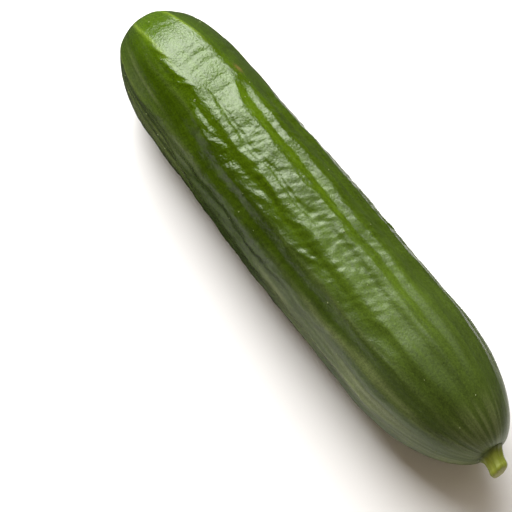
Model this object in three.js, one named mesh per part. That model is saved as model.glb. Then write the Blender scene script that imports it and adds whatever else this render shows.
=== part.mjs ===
// A whole salad cucumber of the short, smooth-skinned kind, lying on its side.
// The fruit is long and nearly straight, blunt at both ends and a little slimmer towards the
// blossom end. Low ridges run along it, and it has a flat spot where it lies. The stem is the
// short piece of stalk left by the knife. It stands in a dimple in the fruit's thicker end.
//
// Millimetres, +Z up. +X runs from the blossom end to the stem. The origin is on the surface
// that the cucumber lies on, under the middle of its outline.
import * as THREE from "three";

const FULL_TURN = 2 * Math.PI;
const DEGREE = Math.PI / 180;

// The fruit's body. Its axis rises towards the stem by AXIS_RISE in every millimetre, because
// the slimmer blossom half lies lower.
const FRUIT_LENGTH = 160;
const FRUIT_RADIUS = 18.4;
const AXIS_HEIGHT = 18.3;
const AXIS_RISE = 0.006;

// Each end is rounded over its reach. The first power shapes the shoulder and the second the tip.
const BLOSSOM_END = { reach: 29.4, shoulder: 2.56, tip: 2.45 };
const STEM_END = { reach: 32.7, shoulder: 1.6, tip: 2.52 };

// The blossom half slims down by this share, from this far along the fruit.
const SLIMMING = { share: 0.177, from: 0.53 * FRUIT_LENGTH, power: 1.5 };

// How far the middle bows sideways, and how far the stem end hooks back over its last reach.
const BOW = -0.7;
const STEM_HOOK = { shift: 0.45, reach: 22 };

// Ridges run along the fruit, and main and side ridges take turns round it, a main one first.
// Each is [angle, height, drift]: the angle is from the top towards +Y, and the drift is how
// many degrees the ridge turns on its way to the stem.
const RIDGES = [
  [-59, 0.5, 0],
  [-35, 0.32, 3],
  [-13, 0.6, -2],
  [9, 0.42, -5],
  [31, 0.6, -12],
  [56, 0.35, -6],
  [79, 0.55, -3],
  [102, 0.32, 2],
  [124, 0.5, 4],
  [147, 0.3, -3],
  [170, 0.45, 2],
  [191, 0.3, -2],
  [214, 0.5, 5],
  [237, 0.35, 3],
  [258, 0.55, -4],
  [280, 0.32, 2],
];

// A ridge is this many degrees wide, and rises from nothing over these distances from each end.
const MAIN_RIDGE = { width: 9, blossomFade: [0, 7], stemFade: [0, 22] };
const SIDE_RIDGE = { width: 7, blossomFade: [31, 44], stemFade: [8, 30] };

// All ridges twist together at the blossom end, by an angle that dies away over the reach.
// Each side ridge starts beside the next ridge and bends away from it between two places.
const TWIST = { angle: -13, reach: 45 };
const BRANCH = { angle: 15, from: 32, to: 50 };

// One ridge swerves a little towards its neighbour, and back again.
const SWERVE = { index: 4, angle: -5, rise: [4, 13], fall: [24, 38] };

// Every ridge wanders to and fro by some degrees, and no two wander in step.
const WANDER = { angle: 1.1, length: 27, step: 2.4 };

// Shallow swellings lie between the ridges, and rise from nothing over this distance.
const SWELLING = { height: 0.12, length: 23, fade: [4, 30] };

// Relief shrinks with the fruit's radius below this one, so that it closes at both tips.
const FULL_RELIEF_RADIUS = 9;

// The dimple that the stem stands in, the rim round it, and the hollow scar that the flower
// left at the other end
const STEM_DIMPLE = { depth: 2.3, radius: 3.3 };
const STEM_RIM = { rise: 0.75, radius: 7 };
const BLOSSOM_SCAR = { depth: 0.6, radius: 2.1 };

// The stem stands clear of the dimple's floor by the gap, and its root follows that floor. Its
// outline is [distance beyond the root's rim, radius]. It leans by a share of that distance.
const STEM_GAP = 0.3;
const STEM_ROOT_RADIUS = 3.6;
const STEM_OUTLINE = [
  [0.3, 3.55],
  [0.8, 3.2],
  [1.6, 2.85],
  [2.7, 2.65],
  [4.0, 2.6],
  [4.9, 2.65],
  [5.5, 2.4],
  [5.95, 1.8],
  [6.2, 0.9],
];
const STEM_TIP = 6.15;
const STEM_LEAN = 0.27;
const STEM_RIBS = { count: 5, share: 0.07, fade: 2 };

// How finely each piece is cut into faces
const FRUIT_RINGS = 60;
const FRUIT_SIDES = 80;
const STEM_SIDES = 40;
const STEM_ROOT_RINGS = 4;
const HALVINGS = 40;

const { clamp, euclideanModulo, smoothstep } = THREE.MathUtils;

// 0 at the very end and 1 beyond the end's reach, as round as the end's two powers say
function endRounding(distance, end) {
  const left = 1 - clamp(distance / end.reach, 0, 1);
  return Math.pow(1 - Math.pow(left, end.shoulder), 1 / end.tip);
}

function bodyRadius(along) {
  const ends =
    endRounding(along, BLOSSOM_END) * endRounding(FRUIT_LENGTH - along, STEM_END);
  const slim = Math.pow(Math.max(0, 1 - along / SLIMMING.from), SLIMMING.power);
  return FRUIT_RADIUS * ends * (1 - SLIMMING.share * slim);
}

// The sideways place and the height of the fruit's axis
function axisShift(along) {
  const fromMiddle = (2 * along) / FRUIT_LENGTH - 1;
  const nearStem = clamp(1 - (FRUIT_LENGTH - along) / STEM_HOOK.reach, 0, 1);
  return BOW * (1 - fromMiddle * fromMiddle) + STEM_HOOK.shift * nearStem * nearStem;
}

function axisHeight(along) {
  return AXIS_HEIGHT + AXIS_RISE * (along - FRUIT_LENGTH / 2);
}

// The angle between two directions round the fruit, from -PI to PI
function turnBetween(a, b) {
  return euclideanModulo(a - b + Math.PI, FULL_TURN) - Math.PI;
}

// The angle of a ridge in degrees: its own, its drift, its wandering and its bends
function ridgeTrack(index, along) {
  const [middle, , drift] = RIDGES[index];
  const wave = (FULL_TURN * along) / WANDER.length + WANDER.step * index;
  const nearBlossom = clamp(1 - along / TWIST.reach, 0, 1);
  const beside = index % 2 === 0 ? 0 : 1 - smoothstep(along, BRANCH.from, BRANCH.to);
  const swerving =
    index === SWERVE.index
      ? smoothstep(along, ...SWERVE.rise) * (1 - smoothstep(along, ...SWERVE.fall))
      : 0;
  const bends =
    TWIST.angle * nearBlossom * nearBlossom + BRANCH.angle * beside + SWERVE.angle * swerving;
  return middle + drift * (along / FRUIT_LENGTH - 0.5) + WANDER.angle * Math.sin(wave) + bends;
}

function ridgeHeight(along, angle) {
  let total = 0;
  RIDGES.forEach(([, height], index) => {
    const kind = index % 2 === 0 ? MAIN_RIDGE : SIDE_RIDGE;
    const fade =
      smoothstep(along, ...kind.blossomFade) *
      smoothstep(FRUIT_LENGTH - along, ...kind.stemFade);
    const off = turnBetween(angle, ridgeTrack(index, along) * DEGREE) / (kind.width * DEGREE);
    total += height * fade * Math.exp(-off * off);
  });
  return total;
}

// Two slow waves that run round and along the fruit
function swelling(along, angle) {
  const wave = (FULL_TURN * along) / SWELLING.length;
  const fade = smoothstep(Math.min(along, FRUIT_LENGTH - along), ...SWELLING.fade);
  const short = Math.sin(wave + 3 * angle) * Math.cos(0.6 * wave - 5 * angle);
  const long = Math.sin(0.47 * wave - 2 * angle + 1);
  return SWELLING.height * fade * (short + 0.6 * long);
}

// How far the skin of each end is pushed along +X, by its distance from the axis
function endShift(along, radius) {
  const bell = (shape, power) => Math.exp(-Math.pow(radius / shape.radius, power));
  if (along < FRUIT_LENGTH / 2) return BLOSSOM_SCAR.depth * bell(BLOSSOM_SCAR, 2);
  return STEM_RIM.rise * bell(STEM_RIM, 4) - STEM_DIMPLE.depth * bell(STEM_DIMPLE, 2);
}

// A point of the skin. It is never lower than the surface that the fruit lies on.
function skinPoint(along, angle) {
  const body = bodyRadius(along);
  const relief = ridgeHeight(along, angle) + swelling(along, angle);
  const radius = body + relief * Math.min(1, body / FULL_RELIEF_RADIUS);
  return new THREE.Vector3(
    along + endShift(along, body),
    axisShift(along) + radius * Math.sin(angle),
    Math.max(0, axisHeight(along) + radius * Math.cos(angle)),
  );
}

// A closed skin over rings of points, with a single point at each end. The rings turn the
// same way round +X.
function skinOverRings(first, rings, last) {
  const sides = rings[0].length;
  const points = [first, ...rings.flat(), last];
  const positions = new Float32Array(points.flatMap((p) => [p.x, p.y, p.z]));
  const index = [];
  const at = (ring, side) => 1 + ring * sides + (side % sides);
  const end = points.length - 1;
  for (let side = 0; side < sides; side++) {
    index.push(0, at(0, side), at(0, side + 1));
    for (let ring = 0; ring + 1 < rings.length; ring++) {
      const [a, b] = [at(ring, side), at(ring, side + 1)];
      const [c, d] = [at(ring + 1, side), at(ring + 1, side + 1)];
      index.push(a, c, b, b, c, d);
    }
    index.push(at(rings.length - 1, side), end, at(rings.length - 1, side + 1));
  }
  const geometry = new THREE.BufferGeometry();
  geometry.setAttribute("position", new THREE.BufferAttribute(positions, 3));
  geometry.setIndex(index);
  geometry.computeVertexNormals();
  return geometry;
}

// Rings crowd towards the two tips, so that the tips are round.
function fruitGeometry() {
  const rings = [];
  for (let ring = 1; ring < FRUIT_RINGS; ring++) {
    const along = (FRUIT_LENGTH * (1 - Math.cos((Math.PI * ring) / FRUIT_RINGS))) / 2;
    const points = [];
    for (let side = 0; side < FRUIT_SIDES; side++) {
      points.push(skinPoint(along, (FULL_TURN * side) / FRUIT_SIDES));
    }
    rings.push(points);
  }
  return skinOverRings(skinPoint(0, 0), rings, skinPoint(FRUIT_LENGTH, 0));
}

// How far along the fruit the dimple's floor lies, at a distance from the axis. The place
// where the body has that radius is found by halving.
function dimpleFloor(radius) {
  let [low, high] = [FRUIT_LENGTH - STEM_END.reach, FRUIT_LENGTH];
  for (let step = 0; step < HALVINGS; step++) {
    const middle = (low + high) / 2;
    if (bodyRadius(middle) > radius) low = middle;
    else high = middle;
  }
  return low + endShift(low, radius);
}

// The root's rings lie on the dimple's floor, and the outline's rings follow from its rim.
function stemGeometry() {
  const rim = dimpleFloor(STEM_ROOT_RADIUS) + STEM_GAP;
  const root = Array.from({ length: STEM_ROOT_RINGS + 1 }, (_, ring) => {
    const radius = (STEM_ROOT_RADIUS * ring) / STEM_ROOT_RINGS;
    return [dimpleFloor(radius) + STEM_GAP - rim, radius];
  });
  const point = ([out, radius], angle) => {
    const grown = smoothstep(out, 0, STEM_RIBS.fade);
    const ribs = STEM_RIBS.share * grown * Math.cos(STEM_RIBS.count * angle);
    const ribbed = radius * (1 + ribs);
    return new THREE.Vector3(
      rim + out,
      axisShift(FRUIT_LENGTH) - STEM_LEAN * Math.max(0, out) + ribbed * Math.sin(angle),
      axisHeight(FRUIT_LENGTH) + ribbed * Math.cos(angle),
    );
  };
  const rings = [...root.slice(1), ...STEM_OUTLINE].map((place) =>
    Array.from({ length: STEM_SIDES }, (_, side) =>
      point(place, (FULL_TURN * side) / STEM_SIDES),
    ),
  );
  return skinOverRings(point(root[0], 0), rings, point([STEM_TIP, 0], 0));
}

const skin = new THREE.MeshStandardMaterial({ color: 0x3d5c17, roughness: 0.35 });
const stalk = new THREE.MeshStandardMaterial({ color: 0x93a13a, roughness: 0.6 });

const fruit = new THREE.Mesh(fruitGeometry(), skin);
fruit.name = "fruit";

const stem = new THREE.Mesh(stemGeometry(), stalk);
stem.name = "stem";

const cucumber = new THREE.Group();
cucumber.add(fruit, stem);

// The origin is put under the middle of the outline.
const middle = new THREE.Box3().setFromObject(cucumber).getCenter(new THREE.Vector3());
cucumber.position.set(-middle.x, -middle.y, 0);

const lyingCucumber = new THREE.Group();
lyingCucumber.add(cucumber);

export default lyingCucumber;
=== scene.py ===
"""A short, smooth-skinned salad cucumber, dressed for a picture on a pale studio floor.

Laid out as an add-on: settings, surfaces, materials, operators, a panel and registration.
Sizes in the settings are in metres. Shape formulas work in millimetres, in the solid part's
own terms: along runs from the blossom end to the stem, and angle turns from the top to +Y.
"""

import math
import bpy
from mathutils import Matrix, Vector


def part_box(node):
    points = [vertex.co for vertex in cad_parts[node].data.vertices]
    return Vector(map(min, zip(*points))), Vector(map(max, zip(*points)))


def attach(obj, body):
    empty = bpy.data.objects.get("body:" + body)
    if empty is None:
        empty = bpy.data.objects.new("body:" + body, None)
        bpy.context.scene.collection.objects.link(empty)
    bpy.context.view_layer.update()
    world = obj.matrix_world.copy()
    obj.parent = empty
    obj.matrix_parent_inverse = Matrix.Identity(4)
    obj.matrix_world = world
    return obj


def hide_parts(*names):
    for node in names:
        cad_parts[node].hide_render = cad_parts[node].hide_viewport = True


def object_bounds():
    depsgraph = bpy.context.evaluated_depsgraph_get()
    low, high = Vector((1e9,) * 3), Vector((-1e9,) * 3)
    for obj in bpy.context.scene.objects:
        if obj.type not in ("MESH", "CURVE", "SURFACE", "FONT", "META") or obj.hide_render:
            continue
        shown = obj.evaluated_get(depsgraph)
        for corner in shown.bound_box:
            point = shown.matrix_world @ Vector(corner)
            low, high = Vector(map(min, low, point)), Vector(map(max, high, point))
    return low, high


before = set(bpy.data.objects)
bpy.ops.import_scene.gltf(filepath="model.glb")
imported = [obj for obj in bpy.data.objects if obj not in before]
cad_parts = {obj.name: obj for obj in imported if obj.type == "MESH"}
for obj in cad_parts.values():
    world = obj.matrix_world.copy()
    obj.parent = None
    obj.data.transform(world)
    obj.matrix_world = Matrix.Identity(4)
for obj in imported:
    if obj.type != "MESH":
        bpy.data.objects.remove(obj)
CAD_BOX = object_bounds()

from types import SimpleNamespace

import bpy
import numpy as np
from bpy.props import FloatProperty, FloatVectorProperty, IntProperty, PointerProperty
from mathutils import Matrix, Vector

bl_info = {
    "name": "Salad Cucumber",
    "version": (1, 0, 0),
    "blender": (4, 5, 0),
    "location": "View3D > Sidebar > Cucumber",
    "description": "Builds a ridged, wrinkled cucumber with its stem on a studio floor",
    "category": "Add Mesh",
}

MM = 0.001
FULL_TURN = 2 * math.pi
BODY = "root"

# The fruit's form, as in the solid part
AXIS_HEIGHT = 18.3
AXIS_RISE = 0.006
BLOSSOM_END = {"reach": 29.4, "shoulder": 2.56, "tip": 2.45}
STEM_END = {"reach": 32.7, "shoulder": 1.6, "tip": 2.52}
SLIMMING = {"share": 0.177, "start": 0.53, "power": 1.5}
STEM_HOOK = {"shift": 0.45, "reach": 22}

# Ridges, a main one first and side ones between: [angle, height, drift on the way to the stem],
# in degrees and millimetres
RIDGES = [
    (-59, 0.5, 0),
    (-35, 0.32, 3),
    (-13, 0.6, -2),
    (9, 0.42, -5),
    (31, 0.6, -12),
    (56, 0.35, -6),
    (79, 0.55, -3),
    (102, 0.32, 2),
    (124, 0.5, 4),
    (147, 0.3, -3),
    (170, 0.45, 2),
    (191, 0.3, -2),
    (214, 0.5, 5),
    (237, 0.35, 3),
    (258, 0.55, -4),
    (280, 0.32, 2),
]

# A ridge's width in degrees, and its fades at both ends. Side ridges branch off from the next
# ones, all of them twist at the blossom end, one swerves and comes back, and each wanders.
MAIN_RIDGE = {"width": 9, "blossom_fade": (0, 7), "stem_fade": (0, 22)}
SIDE_RIDGE = {"width": 7, "blossom_fade": (31, 44), "stem_fade": (8, 30)}
BRANCH = {"angle": 15, "from": 32, "to": 50}
TWIST = {"angle": -13, "reach": 45}
SWERVE = {"index": 4, "angle": -5, "rise": (4, 13), "fall": (24, 38)}
WANDER = {"angle": 1.1, "length": 27, "step": 2.4}

# Shallow swellings between the ridges, and the radius below which all relief shrinks to nothing
SWELLING = {"height": 0.12, "length": 23, "fade": (4, 30)}
FULL_RELIEF_RADIUS = 9

# Slanting folds in a row on each ridge: their places, sizes and slant, the shares that each
# fold's own size is drawn from, how far it strays, and the folds' mean height
FOLDS = {
    "first": 18,
    "last": 140,
    "step": 8.5,
    "half_length": 5.2,
    "half_width": 0.85,
    "slant": math.radians(14),
    "heights": (0.35, 1),
    "lengths": (0.6, 1.25),
    "widths": (0.8, 1.3),
    "stray_along": 1.5,
    "stray_across": 0.4,
    "stray_turn": 0.1,
    "mean": 0.25,
}
FOLD_OFFSET = {"main": -1.6, "side": 1.7}

# Folds are lower towards the stem, and on the ridges of the calm side.
FOLD_FADE = {"from": 85, "to": 112, "loss": 0.6}
CALM_SIDE = {"ridges": (5, 6, 7), "share": 0.4}

# Folds, crests, dents and stripes are drawn on skin that is shifted to and fro by this much
RAGGED = {"shift": 0.34, "reach": (2.6, 1.8)}

# Where the crinkles run, and how they strengthen past the blossom half's smooth panels
CRINKLES = {"rise": (10, 24), "strengthen": (36, 54), "fall": (98, 134), "weak": 0.5, "gain": 1.0}

# Crinkles are soft creases with sharp edges, which run where a second noise changes its sign.
# Each noise has its reach along and round the fruit, its slant and its weight, and the crinkles
# come in patches.
CREASES = {"reach": (0.42, 1.1), "slant": -0.45, "weight": 0.75}
EDGES = {"reach": (0.8, 1.1), "slant": -0.6, "weight": 1.05}
PATCHES = {"reach": (6, 4), "contrast": 1.2, "least": 0.4}

# Thin lines along the skin: their reach along and round it, where they rise at the blossom end,
# and how strong they are without wax bloom or painted sheen
THREADS = {"reach": (8, 0.4), "rise": (2, 10), "least": 0.5}

# Pale bands along the skin, partly its own waxy bloom and partly painted sheen, a painted
# reflection
# of the pale floor on the lower side: [angle, half width, strength], in degrees. They waver, grow
# stronger towards the stem, and break into streaks that follow the thin lines.
WAX_AND_SHEEN_BANDS = (
    (-33, 3, 0.25), (-55, 5, 0.65), (-82, 15, 1.1), (62, 3, 0.3), (118, 9, 0.6), (165, 8, 0.6),
    (207, 9, 0.7),
)
# Along the fruit the bands are faint in the middle, stronger towards both ends, and all round near
# the stem: this shapes both the bloom and the painted reflection of the floor.
WAX_AND_SHEEN = {"waver": 2.6, "reach": (7, 6), "grow": (72, 96), "least": 0.12}
BLOSSOM_WAX_AND_SHEEN = {"strength": 0.5, "rise": (5, 18), "fade": (60, 42)}
STEM_WAX_AND_SHEEN = {"strength": 0.7, "rise": (14, 3)}
WAX_AND_SHEEN_STREAKS = {"least": 0.2, "gain": 0.95, "from": -1.2, "to": 1.2}

# Dents across the panels between main ridges: how many, where, their half sizes and depths, and
# how far they stray and bend
DENTS = {
    "count": 6,
    "first": 9,
    "last": 48,
    "from_middle": 2,
    "half_length": 5,
    "half_width": 0.7,
    "depths": (0.5, 1),
    "stray_turn": 0.12,
    "stray_bend": 0.03,
}
FRONT_PANEL = 2
FRONT_DENTS = (10.9, 22.3, 25.3, 28.8, 34.6, 38.7)

# How pale and how deep the groove beyond each ridge is, and how many degrees each reaches
# to its sides
GROOVE_PALENESS = (
    0.35, 0.1, 0.2, 0.8, 0.5, 0.3, 0.4, 0.2, 0.5, 0.3, 0.6, 0.8, 0.6, 0.3, 0.3, 0.05,
)
GROOVE_DEPTHS = (
    0.5, 0.5, 1.4, 1.0, 0.4, 0.4, 0.5, 0.3, 0.5, 0.4, 0.6, 0.8, 0.6, 0.5, 0.6, 0.6,
)
GROOVE_REACH = {"pale": 8, "deep": 4.8}

# The top of the skin and the side that the soft light faces are painted paler, as painted light:
# the angles where that rises and falls, the places where it fades towards the stem, and how much
# paler it is
PAINTED_LIGHT_SIDE = {
    "rise": (-38, -21),
    "fall": (14, 44),
    "back": (120, 80),
    "near_stem": (115, 138),
    "loss": 0.75,
    "gain": 0.65,
}

# One groove is narrow and lies nearer to its first ridge than halfway, and then widens towards
# the stem: its number, its places as shares of the gap, its widths as shares of the others', and
# where it changes
NARROW_GROOVE = {"index": 2, "place": (0.27, 0.5), "width": (0.6, 1.3), "change": (76, 92)}

# How far a side ridge's crest reaches to its two sides
CREST = {"near": 1.5, "far": 0.5}

# Pale stripes on the main ridges at the blossom end
STRIPE = {"half_width": 0.55, "height": 0.1, "fade": (14, 30)}

# The dimple under the stem, shallower than the solid part's, so that the stem grows out of it,
# the rim round it, and the hollow under the flower's scar
STEM_DIMPLE = {"depth": 1.5, "radius": 3.3}
STEM_RIM = {"rise": 0.75, "radius": 7}
BLOSSOM_SCAR = {"depth": 0.6, "radius": 2.1}

# The stem's outline, as [distance beyond the root's rim, radius], from its sunken root
STEM_OUTLINE = (
    (-0.9, 4.2),
    (-0.3, 4.1),
    (0.1, 3.85),
    (0.5, 3.5),
    (1.0, 3.15),
    (1.7, 2.88),
    (2.7, 2.65),
    (4.0, 2.6),
    (4.9, 2.65),
    (5.5, 2.4),
    (5.95, 1.8),
    (6.2, 0.9),
)
STEM_TIP = 6.15
STEM_GAP = 0.3
STEM_ROOT_RADIUS = 3.6
STEM_LEAN = 0.27
STEM_RIBS = {"count": 5, "share": 0.07, "fade": 2}
STEM_FIBRES = {"height": 0.05, "reach": (2.5, 0.16)}
STEM_RINGS = 60
STEM_SIDES = 160

# Corky places: a scuff on the skin, and the scar that the flower left
SCUFF = {"along": 34.3, "angle": 37, "half_length": 1.4, "half_width": 0.9, "strength": 0.7}
FLOWER_SCAR = {"radius": 1.9, "power": 4}

# Spine scars at known places, as [along in millimetres, angle in degrees], the size of a scar,
# and how far the drawn ones keep from the ends and stray from the ridges
KNOWN_SCARS = (
    (11.6, 23), (6.1, -4.5), (5.9, 32.4), (39.8, 34.6), (66.2, -38), (68.5, -52), (67.3, -66),
    (107, -32), (115.8, -68), (43.5, 20), (148, 12), (152, -26),
)
SPINE_SCARS = {"radius": 0.19, "height": 0.13, "spread": 0.35, "from_ends": 8, "stray": 5}

# A scar's dome: its sides, its rings' climb towards the pole, how deep it is set in the skin, and
# its root's depth
DOME = {"sides": 8, "climb": (0, 30, 60), "sunk": 0.05, "root": 0.2}

# The skin's greens, as shares of the fruit's length between which one turns into the next
GREENS = {"middle": (0.02, 0.5), "stem": (0.5, 0.98)}

# How strongly the pale grooves, stripes and wax with its painted sheen colour the skin, where the
# grooves rise and fade, and how even they are at least
MARKS = {"groove": 0.85, "stripe": 0.8, "wax_and_sheen": 0.75, "even": 0.3}
GROOVE_RISE = (0.1, 0.3)
GROOVE_FALL = (0.95, 0.5)

# Noises on the skin, as [patches in a metre, detail], and streaks, as [stretch, scale]
BLOTCHES = (90.0, 3.0)
SPECKLE = (1600.0, 2.0)
GRAIN = (3600.0, 1.0)
PORES = (1500.0, 4.0)
COARSE_STREAKS = (0.12, 160)
FINE_STREAKS = (0.06, 700)

# Streaks are noise with this detail, spread so that it is 0 and 1 at these values.
STREAKS = {"detail": 4.0, "low": 0.3, "high": 0.7}

# Where blotches break the pale grooves and the cork
GROOVE_BLOTCHES = (0.4, 0.58)
CORK_BLOTCHES = (0.35, 0.6)

# The skin's tone: its level, and how much each noise adds
TONE = {"level": -0.38, "streaks": 0.3, "blotches": 0.5, "speckle": 0.9, "grain": 1.1}

# The skin's gloss: rougher towards the stem and in blotches, with pores that are shallower there
ROUGHNESS = {"blossom": 0.12, "gain": 0.2, "change": (0.15, 0.9), "blotches": 0.1}
PORE_DEPTH = {"distance": 0.00015, "blossom": 1.1, "gain": -0.6, "change": (0.25, 0.6)}
SKIN_IOR = 1.44
SKIN_TINT = (0.92, 1.0, 0.84, 1)

# The stalk's streaks, where its root turns from dark to green and its end from green to dry, in
# millimetres out, and its fibres' bump
STALK_FIBRES = (0.06, 900)
STALK_FLECKS = (0.3, 1800)
STALK_ROOT = (-0.4, 1.6)
STALK_CUT = (5.2, 5.9)
STALK_BUMP = {"strength": 0.5, "distance": 0.00008}

# Corky dots' noise, and how rough they and the stalk are: the least, and what their grain adds
CORK_GRAIN = (2500.0, 3.0)
DULL = {"least": 0.45, "gain": 0.2}

# The soft light: its distance, where it rises at the blossom end and falls towards the stem, in
# shares of its length, and how far it falls
KEY_DISTANCE = 0.9
KEY_START = (0.0, 0.23)
KEY_FADE = (0.33, 0.6)
KEY_FALL = 0.95

# The room's light is a little warmer than the soft light.
ROOM_COLOUR = (1, 0.8, 0.6)

# Where the paper is painted darker in the skin's reflections, as painted shade: the way that
# counts, the edge in metres, how dark it is painted, and the strip behind the fruit that stays
# bright
REFLECTION_SHADE_DIRECTION = (0.5, -0.8, 0)
REFLECTION_SHADE_EDGE = (0.065, 0.01)
REFLECTION_SHADE_SHARE = 0.02
STRIP_START = (0.004, 0.014)
STRIP_END = (0.048, 0.032)
STRIP_FROM = (-0.06, -0.036)

# The floor's paper: its noise, how bright its darker patches are, how rough it is, and how far
# below the flat spot it lies, in millimetres
PAPER = {"noise": (60.0, 2.0), "darker": 0.98, "roughness": 0.9, "gap": 0.1}

# The camera's frame in millimetres, and the nearest that it sees, in metres
FRAME_WIDTH = 36
NEAREST_SEEN = 0.01

# Steps in which an outline is followed closely
FINE_STEPS = 4001


def size_property(name, description, default, least=0.0):
    """A length setting in metres, and the least that it may be."""
    return FloatProperty(
        name=name, description=description, default=default, min=least, unit="LENGTH"
    )


def angle_property(name, description, degrees):
    """An angle setting, with its default given in degrees."""
    return FloatProperty(
        name=name, description=description, default=math.radians(degrees), subtype="ANGLE"
    )


def count_property(name, description, default, least=0):
    """A setting in whole numbers, and the least that it may be."""
    return IntProperty(name=name, description=description, default=default, min=least)


def colour_property(name, description, default):
    """A colour setting whose default is given as red, green and blue from 0 to 1."""
    return FloatVectorProperty(
        name=name,
        description=description,
        default=default,
        min=0,
        max=1,
        size=3,
        subtype="COLOR",
    )


class CucumberShape(bpy.types.PropertyGroup):
    """Sizes of the fruit and of the relief on its skin."""

    length: size_property("Length", "Fruit from the blossom end to the stem", 0.16, least=0.05)
    radius: size_property(
        "Radius", "Fruit's radius at its thickest, without the ridges", 0.0184, least=0.005
    )
    bow: size_property("Bow", "How far the middle stands to one side", -0.0007, least=-0.05)
    crinkle: size_property("Crinkle", "Height of the fine crinkles all over the skin", 0.000042)
    fold: size_property("Fold", "Height of the slanting folds on the ridges' flanks", 0.00027)
    groove: size_property("Groove", "Extra depth of the grooves between ridges", 0.00035)
    crest: size_property("Crest", "Height of the sharp crests along the side ridges", 0.00016)
    dent: size_property("Dent", "Depth of the short dents across the blossom half", 0.00018)
    thread: size_property("Thread", "Height of the thin lines that run along the skin", 0.00003)
    rings: count_property("Rings", "Rings of faces along the fruit", 360, least=20)
    sides: count_property("Sides", "Faces round each ring of the fruit", 276, least=16)
    scars: count_property(
        "Spine scars", "Pale dots, besides the known ones, left by the young fruit's spines", 45
    )
    seed: count_property("Seed", "Start of the random draws for wrinkles and scars", 11)


class CucumberColours(bpy.types.PropertyGroup):
    """Colours of the skin, the stem and the floor."""

    blossom_skin: colour_property(
        "Blossom skin", "Skin at the blossom end", (0.029, 0.056, 0.0004)
    )
    middle_skin: colour_property(
        "Middle skin", "Skin in the middle of the fruit", (0.025, 0.045, 0.0004)
    )
    stem_skin: colour_property(
        "Stem skin", "Skin at the stem end", (0.045, 0.072, 0.008)
    )
    pale_groove: colour_property(
        "Pale groove", "Brightest grooves between ridges", (0.049, 0.088, 0.0007)
    )
    # Pale bands: the skin's waxy bloom, and painted sheen where they paint the floor's reflection.
    wax_and_sheen: colour_property("Wax", "Waxy bands along the skin", (0.15, 0.178, 0.07))
    stripe: colour_property(
        "Stripe", "Stripes at the blossom end", (0.08, 0.122, 0.011)
    )
    scar: colour_property("Scar", "Corky scars and scuffs", (0.14, 0.078, 0.025))
    spine_scar: colour_property("Spine scar", "Paler grains of the dots", (0.36, 0.4, 0.2))
    stalk: colour_property("Stalk", "Stem's own green", (0.16, 0.2, 0.006))
    stalk_light: colour_property(
        "Stalk fibres", "Fibre lines along the stem", (0.235, 0.265, 0.022)
    )
    cut: colour_property("Cut end", "Dried end of the stem", (0.41, 0.39, 0.18))
    floor: colour_property("Floor", "Studio floor", (0.9, 0.9, 0.9))


class CucumberStudio(bpy.types.PropertyGroup):
    """The camera, the lights and the floor."""

    azimuth: angle_property("Azimuth", "Way round the cucumber that the camera stands", 53.86)
    elevation: angle_property("Elevation", "Camera's height above the horizon", 66)
    distance: size_property("Distance", "Camera to the point that it looks at", 0.6, least=0.1)
    aim: FloatVectorProperty(
        name="Aim",
        description="Point that the camera looks at",
        default=(-0.0051, -0.0155, 0.0183),
        size=3,
        subtype="TRANSLATION",
    )
    lens: FloatProperty(
        name="Lens",
        description="Focal length on a 36 mm frame",
        default=155,
        min=10,
        unit="CAMERA",
    )
    key_power: FloatProperty(
        name="Key light",
        description="Power of the long soft light",
        default=62,
        min=0,
        unit="POWER",
    )
    key_length: size_property(
        "Key length", "Length of the soft light, along the fruit", 1.4, least=0.01
    )
    key_width: size_property(
        "Key width", "Width of the soft light, across the fruit", 0.95, least=0.01
    )
    key_lean: angle_property(
        "Key lean", "How far the soft light stands over the blossom end", 26
    )
    key_turn: angle_property("Key turn", "How far the soft light leans to the far side", 18)
    fill: FloatProperty(
        name="Fill",
        description="Light that the room gives from all sides",
        default=0.28,
        min=0,
    )
    dark_room: FloatProperty(
        name="Dark room",
        description="Brightness of the room where the skin mirrors it",
        default=0.02,
        min=0,
    )
    floor_size: size_property("Floor size", "Width of the studio floor", 6, least=0.5)


def smoothstep(x, low, high):
    """0 below low, 1 above high, and a smooth rise between."""
    t = np.clip((x - low) / (high - low), 0, 1)
    return t * t * (3 - 2 * t)


def between(ends, share):
    """The first end where the share is 0, the second where it is 1, and evenly between."""
    return ends[0] + (ends[1] - ends[0]) * share


def end_rounding(distance, end):
    """0 at the very end and 1 beyond the end's reach: (1 - left^shoulder)^(1/tip)."""
    left = 1 - np.clip(distance / end["reach"], 0, 1)
    return (1 - left ** end["shoulder"]) ** (1 / end["tip"])


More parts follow.
